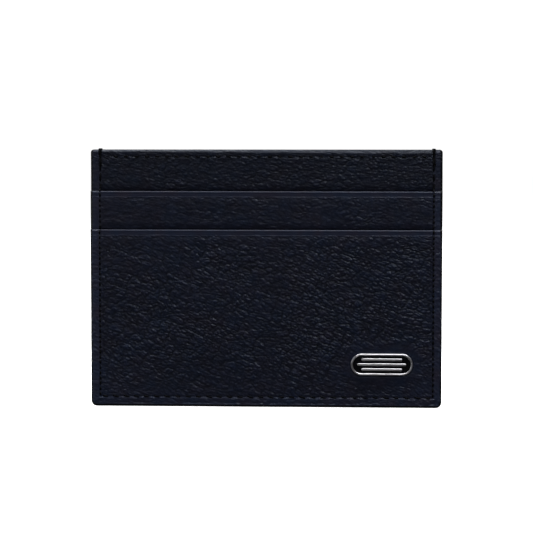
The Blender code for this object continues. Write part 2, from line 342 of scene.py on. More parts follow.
def leather_material():
    material, shader = shader_material("navy_leather", (0.009, 0.011, 0.019), 0.5, specular=0.35)
    shader.inputs["Specular Tint"].default_value = (0.84, 0.91, 1.0, 1)
    # Colour follows the height attribute: darker in the grain's creases, partly the leather's own colour
    # and partly painted shade. The crease colour also carries the painted shade above each pocket's mouth.
    crease, raised = (0.0019, 0.0023, 0.0050), (0.0103, 0.0130, 0.0295)
    # The pressed colour is lighter and bluer than the grain: painted sheen on the smooth pressed leather,
    # laid on where the polish attribute is high.
    pressed = (0.0190, 0.0228, 0.0452)
    grained = ramp(material, attribute_value(material, "height"), crease, raised, 0.05, 0.75)
    smoothed = node(material, "ShaderNodeMix", data_type="RGBA")
    link(material, attribute_value(material, "polish"), smoothed.inputs["Factor"])
    link(material, grained, smoothed.inputs["A"])
    smoothed.inputs["B"].default_value = (*pressed, 1)
    patches = ramp(material, noise_texture(material, 220, 4), (1.34, 0.94, 0.86), (0.82, 1.06, 1.17))
    tinted = node(material, "ShaderNodeMix", data_type="RGBA", blend_type="MULTIPLY")
    tinted.inputs["Factor"].default_value = 1.0
    link(material, smoothed.outputs["Result"], tinted.inputs["A"])
    link(material, patches, tinted.inputs["B"])
    link(material, tinted.outputs["Result"], shader.inputs["Base Color"])
    gloss = ramp(material, noise_texture(material, 700, 2), 0.34, 0.45)
    link(material, gloss, shader.inputs["Roughness"])
    pores = node(material, "ShaderNodeTexVoronoi", Scale=2600.0, feature="DISTANCE_TO_EDGE")
    link(material, object_place(material), pores.inputs["Vector"])
    fine = bump(material, shader, pores.outputs["Distance"], 0.00005, 0.5)
    wrinkles = noise_texture(material, 3200, 3)
    bump(material, shader, wrinkles, 0.00004, 0.5, before=fine)
    return material


def thread_material():
    material, shader = shader_material("waxed_thread", (0.002, 0.002, 0.003), 0.7, specular=0.12)
    dark, light = (0.0007, 0.0008, 0.0014), (0.0022, 0.0024, 0.0042)
    colour = ramp(material, noise_texture(material, 5000, 2), dark, light)
    link(material, colour, shader.inputs["Base Color"])
    fibres = node(material, "ShaderNodeTexWave", Scale=3500.0, Distortion=2.0)
    link(material, object_place(material), fibres.inputs["Vector"])
    bump(material, shader, fibres.outputs["Fac"], 0.00003, 0.6)
    return material


def paint_material():
    material, shader = shader_material("edge_paint", (0.002, 0.002, 0.003), 0.40, specular=0.14)
    dark, light = (0.0010, 0.0010, 0.0014), (0.0024, 0.0025, 0.0036)
    colour = ramp(material, noise_texture(material, 400, 3), dark, light)
    link(material, colour, shader.inputs["Base Color"])
    gloss = ramp(material, noise_texture(material, 900, 2), 0.32, 0.46)
    link(material, gloss, shader.inputs["Roughness"])
    bump(material, shader, noise_texture(material, 1500, 3), 0.00004, 0.5)
    return material


def lining_material():
    material, shader = shader_material("lining_cloth", (0.008, 0.008, 0.011), 0.75, specular=0.25)
    warp = node(material, "ShaderNodeTexWave", Scale=900.0, bands_direction="X")
    weft = node(material, "ShaderNodeTexWave", Scale=900.0, bands_direction="Z")
    for wave in (warp, weft):
        link(material, object_place(material), wave.inputs["Vector"])
    weave = node(material, "ShaderNodeMath", operation="MULTIPLY")
    link(material, warp.outputs["Fac"], weave.inputs[0])
    link(material, weft.outputs["Fac"], weave.inputs[1])
    colour = ramp(material, weave.outputs[0], (0.005, 0.005, 0.007), (0.013, 0.013, 0.018), 0.1, 0.8)
    link(material, colour, shader.inputs["Base Color"])
    bump(material, shader, weave.outputs[0], 0.00008, 0.7)
    return material


def silver_material():
    material, shader = shader_material("polished_silver", (0.80, 0.78, 0.80), 0.2, metallic=1.0)
    colour = ramp(material, noise_texture(material, 200, 3), (0.74, 0.72, 0.75), (0.86, 0.84, 0.86))
    link(material, colour, shader.inputs["Base Color"])
    gloss = ramp(material, noise_texture(material, 260, 3), 0.27, 0.34)
    link(material, gloss, shader.inputs["Roughness"])
    bump(material, shader, noise_texture(material, 900, 2), 0.000002, 0.2)
    return material


def enamel_material():
    material, shader = shader_material("black_enamel", (0.003, 0.003, 0.004), 0.12, specular=0.5)
    dark, light = (0.0022, 0.0022, 0.0030), (0.0045, 0.0045, 0.0060)
    colour = ramp(material, noise_texture(material, 500, 2), dark, light)
    link(material, colour, shader.inputs["Base Color"])
    gloss = ramp(material, noise_texture(material, 800, 2), 0.08, 0.18)
    link(material, gloss, shader.inputs["Roughness"])
    return material


def steel_material():
    material, shader = shader_material("backing_steel", (0.55, 0.55, 0.56), 0.35, metallic=1.0)
    scratches = node(material, "ShaderNodeTexNoise", Scale=300.0, Detail=4.0)
    stretch = node(material, "ShaderNodeMapping")
    stretch.inputs["Scale"].default_value = (1, 20, 20)
    link(material, object_place(material), stretch.inputs["Vector"])
    link(material, stretch.outputs["Vector"], scratches.inputs["Vector"])
    gloss = ramp(material, scratches.outputs["Fac"], 0.28, 0.48)
    link(material, gloss, shader.inputs["Roughness"])
    return material


# ---------------- faces


@dataclass
class Face:
    """One face of the holder. Its pieces are made as if it were the front, and then turned."""

    name: str
    turn: Matrix
    seams: tuple
    seed: int


FACES = (
    Face("front", Matrix.Identity(4), (SEAM_LEFT, SEAM_RIGHT), 3),
    Face("back", Matrix.Rotation(math.pi, 4, "Z"), (-SEAM_RIGHT, -SEAM_LEFT), 47),
)


def stitch_holes(start, end, seed, pitch=STITCH):
    """Places for holes between two ends, about a stitch apart, each a little off its even place."""
    count = max(round(abs(end - start) / pitch), 1)
    holes = np.linspace(start, end, count + 1)
    numbers = np.arange(1, count)
    holes[1:-1] += 0.14 * pitch * (hash01(numbers, numbers * 0, seed) - 0.5)
    return holes


def side_holes():
    """Small stitches up the pockets, then long ones up the panel."""
    change = UPPER_MOUTH - 0.4 * MM
    low = stitch_holes(SEAM_BOTTOM, change, 71, SIDE_STITCH)
    return np.concatenate([low, stitch_holes(change, HEIGHT - 0.3 * MM, 72)[1:]])


def bottom_holes(face):
    return stitch_holes(*face.seams, face.seed + 73)


def top_holes(face):
    left, right = face.seams
    return stitch_holes(left + 3.1 * MM, right - 1.2 * MM, face.seed + 74)


def hole_dent(x, z, hole_x, hole_z, number, seed):
    """A dent at a stitch hole, and the leather puckered up beside it, each by its own amount."""
    number, seed = np.array([number]), np.array([seed])
    own, aside, down, wide = (hash01(number, seed, salt)[0] for salt in (17, 18, 19, 20))
    hole = bell(np.hypot(x - hole_x, z - hole_z), 0.24 * MM)
    pucker_x, pucker_z = hole_x + (0.1 + 0.4 * aside) * MM, hole_z - (0.38 + 0.4 * down) * MM
    pucker = bell(np.hypot(x - pucker_x, z - pucker_z), (0.22 + 0.16 * wide) * MM)
    return HOLE_SINK * ((0.35 + own) * hole - (0.1 + 1.1 * own) * pucker)


def pulled_in(along, holes, least):
    """From least between two stitches to 1 along a stitch, where its thread pulls the leather in."""
    phase = np.interp(along, holes, np.arange(len(holes)))
    phase = np.abs(phase - np.floor(phase) - 0.5)
    return least + (1 - least) * smooth_step(0.46, 0.28, phase)


def seam_sink(x, z, face, has_bottom, has_top_row):
    """How far the seams pull the leather in, with a dent at each hole."""
    sink = np.zeros(x.shape)
    left, right = face.seams

    def sew(groove, holes_xz, seed):
        nonlocal sink
        sink = np.maximum(sink, groove)
        for number, (hole_x, hole_z) in enumerate(holes_xz):
            sink += hole_dent(x, z, hole_x, hole_z, number, seed)

    beside = pulled_in(z, side_holes(), 0.45)
    along = z > SEAM_BOTTOM - 0.4 * MM if has_bottom else np.ones(x.shape, bool)
    for seam in face.seams:
        groove = SEAM_SINK * beside * bell(x - seam, SEAM_WIDTH) * along
        sew(groove, [(seam, hole) for hole in side_holes()], face.seed)
    if has_bottom:
        along = (x > left - 0.3 * MM) & (x < right + 0.3 * MM)
        depth = 0.56 * SEAM_SINK * pulled_in(x, bottom_holes(face), 0.2)
        groove = depth * bell(z - SEAM_BOTTOM, SEAM_WIDTH) * along
        sew(groove, [(hole, SEAM_BOTTOM) for hole in bottom_holes(face)], face.seed + 1)
    if has_top_row:
        along = smooth_step(left, left + 0.6 * MM, x) * smooth_step(-right, 0.6 * MM - right, -x)
        depth = 0.28 * SEAM_SINK * pulled_in(x, top_holes(face), 0.1)
        groove = depth * bell(z - TOP_ROW, 0.8 * SEAM_WIDTH) * along
        sew(groove, [(hole, TOP_ROW) for hole in top_holes(face)], face.seed + 2)
    return sink


def mouth_profile(x, below, seed):
    """Height of the leather below a pocket's mouth: a pressed strip, then an uneven creased step."""
    uneven = noise(x / (2.6 * MM), x / (9 * MM), seed + 24)
    step = 1.58 * MM + 0.10 * MM * noise(x / (5 * MM), x / (31 * MM), seed + 25)
    rise = smooth_step(-0.16 * MM, 0.16 * MM, below - step)
    strip = -0.15 * MM * (1 - rise * (0.62 + 0.26 * uneven))
    strip *= 1 - smooth_step(1.7 * MM, 3.1 * MM, below)
    bead = 0.045 * MM * bell(below - 0.38 * MM, 0.16 * MM)
    return strip + bead


def quarter_round(distance, reach, fall):
    """How far a rounded edge falls away at a distance in from it."""
    left = np.clip(1 - distance / reach, 0, 1)
    return fall * (1 - np.sqrt(1 - left**2))


def to_round_corner(x, z, corner_x, corner_z, radius):
    """Moves the points in a square corner onto a round one."""
    side_x, side_z = math.copysign(1, corner_x), 1 if corner_z > HEIGHT / 2 else -1
    centre_x, centre_z = corner_x - side_x * radius, corner_z - side_z * radius
    a = np.clip(side_x * (x - centre_x) / radius, 0, 1)
    b = np.clip(side_z * (z - centre_z) / radius, 0, 1)
    inside = (a > 0) & (b > 0)
    new_x = centre_x + side_x * radius * a * np.sqrt(1 - b * b / 2)
    new_z = centre_z + side_z * radius * b * np.sqrt(1 - a * a / 2)
    return np.where(inside, new_x, x), np.where(inside, new_z, z)


def badge_distance(x, z):
    """Distance outside the badge's outline."""
    centre_x, centre_z = (badge_low.x + badge_high.x) / 2, (badge_low.z + badge_high.z) / 2
    radius = (badge_high.z - badge_low.z) / 2
    straight = (badge_high.x - badge_low.x) / 2 - radius
    beyond = np.maximum(np.abs(x - centre_x) - straight, 0)
    return np.hypot(beyond, z - centre_z) - radius


@dataclass
class Sheet:
    """One leather sheet of a face, from low to mouth, with its surface at depth.

    ledge: the mouth of the pocket that covers its lower part, if there is one. The leather just above it
    dips in and is darkened with painted shade.
    angle, bend, strength: how its grain's rows tilt, how they curve, and how strongly the grain shows.
    polished, tone: how strongly painted sheen lightens its pressed margins, and how light it is.
    """

    face: Face
    low: float
    mouth: float
    depth: float
    ledge: Optional[float]
    angle: float
    bend: float
    strength: Callable
    polished: float
    tone: float
    corners: tuple = ()
    has_bottom: bool = False
    has_top_row: bool = False
    has_badge: bool = False


def sheet_grid(sheet):
    """Points close together where the surface turns quickly, and far apart where it is hidden."""
    half = HALF_LEATHER
    columns = spaced(-half, half, fine_near([-half, half, *sheet.face.seams], GRAIN_STEP, 0.5 * MM))
    spots = [sheet.mouth - CREASE_BELOW]
    if sheet.has_bottom:
        spots += [SEAM_BOTTOM, sheet.low]
    if sheet.has_top_row:
        spots.append(TOP_ROW)
    near_step = fine_near(spots, GRAIN_STEP, 0.45 * MM)
    reach = TOP_ROW_REACH if sheet.has_top_row else MOUTH_ROUND
    mouth_rows = sheet.mouth - reach * (1 - np.cos(np.linspace(0, math.pi / 2, 10)))
    start, hidden = sheet.low, []
    if sheet.ledge is not None:
        start = sheet.ledge - 1.0 * MM
        hidden = np.linspace(sheet.low, start, round((start - sheet.low) / HIDDEN_STEP) + 1)[:-1]
    rows = np.concatenate([hidden, spaced(start, mouth_rows[-1], near_step)[:-1], mouth_rows[::-1]])
    return np.meshgrid(columns, rows)


def margin_share(sheet, z, outside):
    """From 0 inside the seams to 1 in the margin outside them."""
    margin = smooth_step(-MARGIN_EASE, MARGIN_EASE, outside)
    if sheet.has_bottom:
        margin = np.maximum(margin, smooth_step(-MARGIN_EASE, MARGIN_EASE, SEAM_BOTTOM - z))
    return margin


def grain_share(sheet, x, z, margin):
    """How strongly the grain shows. It is weaker at the mouth, the badge, the margins and the seams."""
    below = sheet.mouth - z
    if sheet.has_top_row:
        at_mouth = 0.50 + 0.50 * smooth_step(0.3 * MM, 2.4 * MM, below)
    else:
        at_mouth = smooth_step(1.25 * MM, 2.1 * MM, below)
    share = sheet.strength(x, z) * at_mouth
    if sheet.has_badge:
        share = share * (1 - 0.60 * smooth_step(4.5 * MM, 0.5 * MM, badge_distance(x, z)))
    left, right = sheet.face.seams
    seam_gap = np.minimum(np.abs(x - left), np.abs(x - right))
    if sheet.has_bottom:
        seam_gap = np.minimum(seam_gap, np.abs(z - SEAM_BOTTOM))
    share = share * (1 - 0.30 * margin) * (0.50 + 0.50 * smooth_step(0.2 * MM, 1.0 * MM, seam_gap))
    return share * (0.95 + 0.22 * noise(x / (4 * MM), z / (2.6 * MM), sheet.face.seed + 22))


def foot_relief(x, z, low, seed):
    """The bottom margin: a rounded edge, a pressed line above it and a little texture."""
    foot = z - low
    relief = -MARGIN_DROP * (1 - np.clip(foot / (0.28 * MARGIN_ROUND), 0, 1)) ** 2
    pressed_line = 0.10 + 0.06 * noise(x / (7 * MM), z / (40 * MM), seed + 27)
    relief -= pressed_line * MM * bell(foot - 0.62 * MM, 0.38 * MM)
    strip = smooth_step(0.3 * MM, 0.6 * MM, foot) * smooth_step(0.1 * MM, 0.4 * MM, SEAM_BOTTOM - z)
    return relief + 0.08 * MM * strip * noise(x / (1.1 * MM), z / (0.55 * MM), seed + 28)


def mouth_fall(sheet, x, below, outside):
    """How far the sheet rounds away at its mouth. The panel's edge is wider towards the right."""
    if sheet.has_top_row:
        reach = TOP_ROUND + TOP_ROUND_MORE * smooth_step(-45 * MM, 40 * MM, x)
        reach = reach * (1 + 0.16 * noise(x / (2.6 * MM), x / (19 * MM), sheet.face.seed + 26))
        fall = 1.26 * MOUTH_ROUND * np.sqrt(reach / TOP_ROUND)
        return fall * np.clip(1 - below / reach, 0, 1) ** 1.04
    reach = 0.70 * MOUTH_ROUND
    reach = reach + (MARGIN_MOUTH_ROUND - reach) * smooth_step(0, MARGIN_EASE, outside)
    return quarter_round(below, reach, MOUTH_ROUND)


def sheet_relief(sheet, x, z, side, outside, margin):
    """The sheet's shape apart from its grain, as heights above a flat surface."""
    seed = sheet.face.seed
    below = sheet.mouth - z
    relief = 0.035 * MM * noise(x / (6 * MM), z / (5 * MM), seed + 21)
    if not sheet.has_top_row:
        relief += mouth_profile(x, below, seed)
    relief -= seam_sink(x, z, sheet.face, sheet.has_bottom, sheet.has_top_row)
    relief -= MARGIN_DROP * (1 - np.clip(side / MARGIN_ROUND, 0, 1)) ** 2
    if sheet.has_bottom:
        relief += foot_relief(x, z, sheet.low, seed)
    if sheet.has_badge:
        relief -= 0.10 * MM * bell(np.maximum(badge_distance(x, z), 0), 0.6 * MM)
    relief -= mouth_fall(sheet, x, below, outside)
    if sheet.ledge is not None:
        above = np.maximum(z - sheet.ledge, 0)
        relief -= LEDGE_DIP * np.clip(1 - above / LEDGE_REACH, 0, 1) ** 2 * (1 - margin)
    return relief


def paint_lap(z, side):
    """How strongly the edge paint laps onto the leather's face. It laps on less low down."""
    kept = 0.2 + 0.8 * smooth_step(LOWER_MOUTH - 6 * MM, LOWER_MOUTH, z)
    return kept * smooth_step(0.44 * MM, 0.24 * MM, side)


def sheet_shades(sheet, x, z, side, below, margin, share, pebbles):
    """The height and polish values that colour each point of the face. Height carries the grain and painted
    shade; polish carries painted sheen.
    """
    painted = paint_lap(z, side)
    shown = np.clip(share, 0, 1)
    height = (pebbles * shown + SMOOTH_HEIGHT * (1 - shown)) * sheet.tone
    height = height * (1 + 0.20 * noise(x / (2.2 * MM), z / (1.5 * MM), sheet.face.seed + 29))
    # Painted shade: just above the mouth of the pocket in front, the colour darkens to the crease colour.
    if sheet.ledge is not None:
        above = np.maximum(sheet.mouth - below - sheet.ledge, 0)
        height = height * (1 - smooth_step(0.55 * MM, 0.05 * MM, above))
    # Painted sheen: the pressed colour lightens the margins, the strip under each pocket's mouth and the
    # lower pocket's bottom corners.
    polish = margin * sheet.polished
    if not sheet.has_top_row:
        polish = np.maximum(polish, 0.6 * smooth_step(2.4 * MM, 1.0 * MM, below))
    if sheet.has_bottom:
        from_corner = np.hypot((HALF_LEATHER - np.abs(x)) / 1.4, z - sheet.low)
        polish = np.maximum(polish, 0.32 * bell(from_corner, 13 * MM))
    return height * (1 - painted), polish * (1 - painted)


def closed_sheet(x, z, depth, inner_depth, mouth):
    """The face with its edges turned in to a flat inner side. The mouth's edge is turned round."""
    front = np.stack([x.ravel(), -depth.ravel(), z.ravel()], axis=1)
    border = border_of(*x.shape)
    loop = front[border]
    left_over = -inner_depth.ravel()[border] - loop[:, 1]
    at_top = smooth_step(MOUTH_ROUND, 0, mouth - loop[:, 2])
    loops = []
    for turn in TURNED_IN:
        swing = math.radians(turn)
        ring = loop.copy()
        ring[:, 1] += left_over * (turn / 90 + (math.sin(swing) - turn / 90) * at_top)
        ring[:, 2] -= left_over * (1 - math.cos(swing)) * at_top
        loops.append(ring)
    size = len(border)
    numbers = [border] + [x.size + n * size + np.arange(size) for n in range(len(TURNED_IN))]
    faces = list(grid_faces(*x.shape))
    for first, second in zip(numbers, numbers[1:]):
        faces += list(ring_faces(first, second))
    faces.append(numbers[-1][::-1])
    return np.concatenate([front] + loops), faces


def make_sheet(name, sheet, material):
    """A grained sheet with a rounded, creased mouth, its seams pulled in and a flat inner side."""
    half = HALF_LEATHER
    x, z = sheet_grid(sheet)
    side = np.minimum(x + half, half - x)
    below = sheet.mouth - z
    outside = np.maximum(sheet.face.seams[0] - x, x - sheet.face.seams[1])
    margin = margin_share(sheet, z, outside)
    share = grain_share(sheet, x, z, margin)
    pebbles = grain(x, z, sheet.angle, sheet.bend, sheet.face.seed)
    relief = GRAIN_HEIGHT * share * (pebbles - SMOOTH_LEVEL)
    relief += sheet_relief(sheet, x, z, side, outside, margin)
    bow = 0.10 * MM * smooth_step(12 * MM, 0, below) * bell(x / half, 0.75)
    depth = sheet.depth + relief + bow
    for corner in sheet.corners:
        corner_z, radius = (sheet.low, BOTTOM_CORNER) if corner == "bottom" else (sheet.mouth, TOP_CORNER)
        for corner_x in (-half, half):
            x, z = to_round_corner(x, z, corner_x, corner_z, radius)
    points, faces = closed_sheet(x, z, depth, sheet.depth - LEATHER + bow, sheet.mouth)
    edge = np.full(len(points) - x.size, CUT_EDGE_SHADE)
    height, polish = sheet_shades(sheet, x, z, side, below, margin, share, pebbles)
    attributes = {
        "height": np.concatenate([height.ravel(), edge]),
        "polish": np.concatenate([polish.ravel(), edge]),
    }
    piece = mesh_object(name + "_leather", points, faces, material, sheet.face.turn, attributes=attributes)
    finish_piece(piece, "leather", name)


def panel_grain(x, z):
    return 0.70 + 0.12 * noise(x / (9 * MM), z / (7 * MM), 5)


def upper_grain(x, z):
    return 0.54 + 0.14 * noise(x / (9 * MM), z / (5 * MM), 397)


def lower_grain(x, z):
    patchy = 0.97 + 0.20 * noise(x / (14 * MM), z / (10 * MM), 44)
    soft_foot = 1 - 0.18 * smooth_step(16 * MM, 5 * MM, z)
    soft_head = 1 - 0.35 * smooth_step(6 * MM, 3 * MM, LOWER_MOUTH - z)
    return patchy * soft_foot * soft_head


def finish_piece(piece, slot, *nodes):
    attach(piece, "root")
    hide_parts(*nodes)


def make_leather(face, material):
    make_sheet(face.name + "_panel", Sheet(
        face, LEATHER_FOOT, HEIGHT, PANEL_DEPTH, UPPER_MOUTH,
        angle=math.radians(-11), bend=3.2, strength=panel_grain, polished=0.36, tone=0.66,
        corners=("bottom", "top"), has_top_row=True), material)
    make_sheet(face.name + "_upper_pocket", Sheet(
        face, upper_low.z, UPPER_MOUTH, UPPER_DEPTH, LOWER_MOUTH,
        angle=math.radians(-10), bend=0.0, strength=upper_grain, polished=0.62, tone=0.9), material)
    make_sheet(face.name + "_lower_pocket", Sheet(
        face, LEATHER_FOOT, LOWER_MOUTH, LOWER_DEPTH, None,
        angle=math.radians(-23), bend=0.0, strength=lower_grain, polished=0.78, tone=1.0,
        corners=("bottom",), has_bottom=True, has_badge=face.name == "front"), material)


# ---------------- stitches


def stepped_depth(z, start, end):
    """Depth of a face at a height. Each step at a mouth runs from start above the mouth to end above it."""
    at_upper = smooth_step(UPPER_MOUTH + start, UPPER_MOUTH + end, z)
    at_lower = smooth_step(LOWER_MOUTH + start, LOWER_MOUTH + end, z)
    return PANEL_DEPTH + (UPPER_DEPTH - PANEL_DEPTH) * at_upper + (LOWER_DEPTH - UPPER_DEPTH) * at_lower


def stitch_mesh(line, radius):
    """A two-ply thread along a line of points: a tube whose twist shows as ridges."""
    line = np.asarray(line)
    along = np.gradient(line, axis=0)
    along /= np.linalg.norm(along, axis=1)[:, None]
    reference = np.array([0.3, 1.0, 0.2])
    first = np.cross(along, reference)
    first /= np.linalg.norm(first, axis=1)[:, None]
    second = np.cross(along, first)
    share = np.linspace(0, 1, len(line))
    angle = np.linspace(0, 2 * math.pi, STITCH_SIDES, endpoint=False)
    lobes = 1 + 0.16 * np.cos(2 * (angle[None, :] - 2 * math.pi * PLY_TURNS * share[:, None]))
    size = radius * lobes
    ring = (
        line[:, None, :]
        + first[:, None, :] * (size * np.cos(angle))[..., None]
        + second[:, None, :] * (size * np.sin(angle))[..., None]
    )
    points = ring.reshape(-1, 3)
    faces = []
    for row in range(len(line) - 1):
        near = row * STITCH_SIDES + np.arange(STITCH_SIDES)
        faces += list(ring_faces(near, near + STITCH_SIDES))
    faces.append(np.arange(STITCH_SIDES)[::-1])
    faces.append((len(line) - 1) * STITCH_SIDES + np.arange(STITCH_SIDES))
    return points, faces


def stitch_line(start, end, depth_at, slant, sink, thread, length_share):
    """A stitch from one hole to the next: out of the leather, along it and back in."""
    start, end = np.array(start), np.array(end)
    share = np.linspace(0, 1, STITCH_RINGS)
    inset = (1 - length_share) / 2
    place = start + (end - start) * (inset + (1 - 2 * inset) * share)[:, None]
    direction = (end - start) / np.linalg.norm(end - start)
    sideways = np.array([-direction[1], direction[0]])
    place = place + sideways * (slant * (0.5 - share))[:, None]
    rise = np.sin(math.pi * share) ** 0.45
    depth = np.array([depth_at(x, z) for x, z in place])
    depth = depth - sink + thread * (0.52 * rise - 0.75 * (1 - rise))
    return np.stack([place[:, 0], -depth, place[:, 1]], axis=1)


def gather(parts):
    """Several separate bodies as the points and faces of one mesh."""
    points, faces, start = [], [], 0
    for part_points, part_faces in parts:
        points.append(part_points)
        faces += [np.asarray(f) + start for f in part_faces]
        start += len(part_points)
    return np.concatenate(points), faces


def run_of_stitches(holes_xz, depth_at, slant, seed, sink=THREAD_SINK, thread=THREAD,
                    length_share=SIDE_SHARE):
    """A stitch between each hole and the next, each a little different."""
    made = []
    for n, (start, end) in enumerate(zip(holes_xz, holes_xz[1:])):
        vary, other = (hash01(np.array([n]), np.array([seed]), salt)[0] - 0.5 for salt in (9, 12))
        own_sink = sink + 0.10 * MM * other
        share = length_share * (1 + 0.16 * vary)
        line = stitch_line(start, end, depth_at, slant * (1 + 0.9 * vary), own_sink, thread, share)
        made.append(stitch_mesh(line, thread / 2 * (1 + 0.10 * other)))
    return made


def over_the_top(x, face_depth, radius):
    """The thread's last turn, up the face and over the top edge to the middle."""
    low, corner, above = HEIGHT - 1.6 * MM, 0.45 * MM, 0.06 * MM
    outside = face_depth + 0.05 * MM
    line = [
        (x, 0.35 * MM - face_depth, low),
        (x, -(face_depth + 0.02 * MM), low + 0.25 * MM),
        (x, -outside, HEIGHT - corner),
    ]
    for angle in np.linspace(0, math.pi / 2, 9)[1:]:
        back = corner * (1 - math.cos(angle))
        up = (corner + above) * math.sin(angle)
        line.append((x, back - outside, HEIGHT - corner + up))
    line.append((x, 0.0, HEIGHT + 0.05 * MM))
    line = np.array(line)
    dense = np.linspace(0, len(line) - 1, 33)
    smooth = np.stack([np.interp(dense, np.arange(len(line)), line[:, k]) for k in range(3)], axis=1)
    return stitch_mesh(smooth, radius)


def make_perimeter_stitches(face, material):
    """The side seams, sewn back over themselves and over the top edge, and the bottom seam."""
    left, right = face.seams

    def side_depth(x, z):
        return stepped_depth(z, 0.72 * MM, 0.09 * MM)

    parts = []
    for side, seam in ((-1, left), (1, right)):
        holes = [(seam, z) for z in side_holes()]
        small = sum(z < UPPER_MOUTH for x, z in holes)
        parts += run_of_stitches(
            holes[:small], side_depth, slant=0.14 * MM, seed=face.seed + side,
            sink=0.42 * MM, thread=SIDE_THREAD)
        parts += run_of_stitches(
            holes[small - 1:], side_depth, slant=0.16 * MM, seed=face.seed + side + 9,
            length_share=LONG_SHARE)
        for shift in (-0.14 * MM, 0.20 * MM):
            back_holes = [(seam + shift, z + 1.2 * MM + shift) for z in side_holes()[-3:-1]]
            parts += run_of_stitches(
                back_holes, side_depth, slant=-0.2 * MM, seed=face.seed + 5,
                sink=0.24 * MM, length_share=LONG_SHARE)
        for shift in (-0.23 * MM, 0.23 * MM):
            parts.append(over_the_top(seam + shift, PANEL_DEPTH - 0.08 * MM, THREAD * 0.46))
    holes = [(x, SEAM_BOTTOM) for x in bottom_holes(face)]
    parts += run_of_stitches(
        holes, lambda x, z: LOWER_DEPTH, slant=0.44 * MM, seed=face.seed + 2,
        sink=0.26 * MM, thread=FINE_THREAD, length_share=SHORT_SHARE)
    points, faces = gather(parts)
    piece = mesh_object("perimeter_stitches_" + face.name, points, faces, material, face.turn, 80)
    finish_piece(piece, "thread", "perimeter_thread_" + face.name)


def make_top_stitches(face, material):
    """The row just below the top edge."""
    holes = [(x, TOP_ROW) for x in top_holes(face)]
    parts = run_of_stitches(
        holes, lambda x, z: PANEL_DEPTH, slant=0.10 * MM, seed=face.seed + 3,
        sink=0.24 * MM, thread=TOP_THREAD, length_share=TOP_SHARE)
    points, faces = gather(parts)
    piece = mesh_object("top_stitches_" + face.name, points, faces, material, face.turn, 80)
    finish_piece(piece, "thread", "top_thread_" + face.name)


def make_hidden_stitches(face, material):
    """The seam that closes the upper pocket, under the lower one."""
    name = face.name + "_upper_pocket_thread"
    low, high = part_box(name)
    depth = max(abs(low.y), abs(high.y)) - CAD_THREAD
    middle = (low.z + high.z) / 2
    holes = [(x, middle) for x in stitch_holes(low.x, high.x, 75)]
    parts = run_of_stitches(
        holes, lambda x, z: depth + SEAM_SINK * 0.4, slant=0.2 * MM, seed=face.seed + 4,
        thread=CAD_THREAD)
    points, faces = gather(parts)
    piece = mesh_object(face.name + "_upper_pocket_stitches", points, faces, material, face.turn, 80)
    finish_piece(piece, "thread", name)


# ---------------- painted edge


def painted_corner(centre_x, centre_z, radius, start, end):
    """Points round a corner: the place and the outward direction of each."""
    angles = np.radians(np.linspace(start, end, PAINT_CORNER_STEPS))
    outward = [(math.cos(angle), math.sin(angle)) for angle in angles]
    return [(centre_x + radius * nx, centre_z + radius * nz, nx, nz) for nx, nz in outward]


def painted_path():
    """From one top corner down, along the bottom and up to the other."""
    low, high = BOTTOM_CORNER + 0.35 * MM, TOP_CORNER + 0.35 * MM
    across, top_across, top = HALF_WIDTH - low, HALF_WIDTH - high, HEIGHT - high
    levels = spaced(low, top, fine_near([UPPER_MOUTH, LOWER_MOUTH], 0.5 * MM, 0.6 * MM))[1:-1]
    path = painted_corner(-top_across, top, high, 100, 180)
    path += [(-HALF_WIDTH, z, -1.0, 0.0) for z in levels[::-1]]
    path += painted_corner(-across, low, low, 180, 270)
    path += [(x, 0.0, 0.0, -1.0) for x in np.linspace(-across, across, PAINT_BOTTOM_STEPS)[1:-1]]
    path += painted_corner(across, low, low, 270, 360)
    path += [(HALF_WIDTH, z, 1.0, 0.0) for z in levels]
    return path + painted_corner(top_across, top, high, 0, 80)


def make_edge_paint(material):
    """A band of paint over the cut edges, domed, and a little ribbed by the layers below it."""
    path = np.array(painted_path())
    width = stepped_depth(path[:, 1], 0.25 * MM, -0.25 * MM) - (MARGIN_DROP - 0.04 * MM)
    around = np.linspace(-1, 1, PAINT_SIDES)
    dome = 1 - np.abs(around) ** 14
    rows = []
    for k, (x0, z0, nx, nz) in enumerate(path):
        y = np.sign(around) * np.abs(around) ** 0.9 * width[k]
        layers = 0.020 * MM * np.cos(y / (0.87 * MM) * 2 * math.pi) * (1 - around**8)
        uneven = 0.015 * MM * noise(np.full(PAINT_SIDES, k / 9.0), y / (0.7 * MM), 31)
        out = -PAINT_DEPTH + PAINT_DEPTH * dome + layers - 0.02 * MM + uneven
        rows.append(np.stack([x0 + nx * out, y, z0 + nz * out], axis=1))
    points = np.concatenate(rows)
    points[:, 2] = np.maximum(points[:, 2], 0.0)
    faces = [f[::-1] for f in grid_faces(len(path), PAINT_SIDES)]
    first = np.arange(len(path)) * PAINT_SIDES
    last = first + PAINT_SIDES - 1
    faces += list(np.stack([last[:-1], last[1:], first[1:], first[:-1]], axis=1))
    faces.append(np.arange(PAINT_SIDES))
    faces.append(first[-1] + np.arange(PAINT_SIDES)[::-1])
    piece = mesh_object("edge_paint", points, faces, material, None, 60)
    finish_piece(piece, "edge_paint", "edge_coat_left", "edge_coat_right", "edge_coat_bottom")


# ---------------- linings


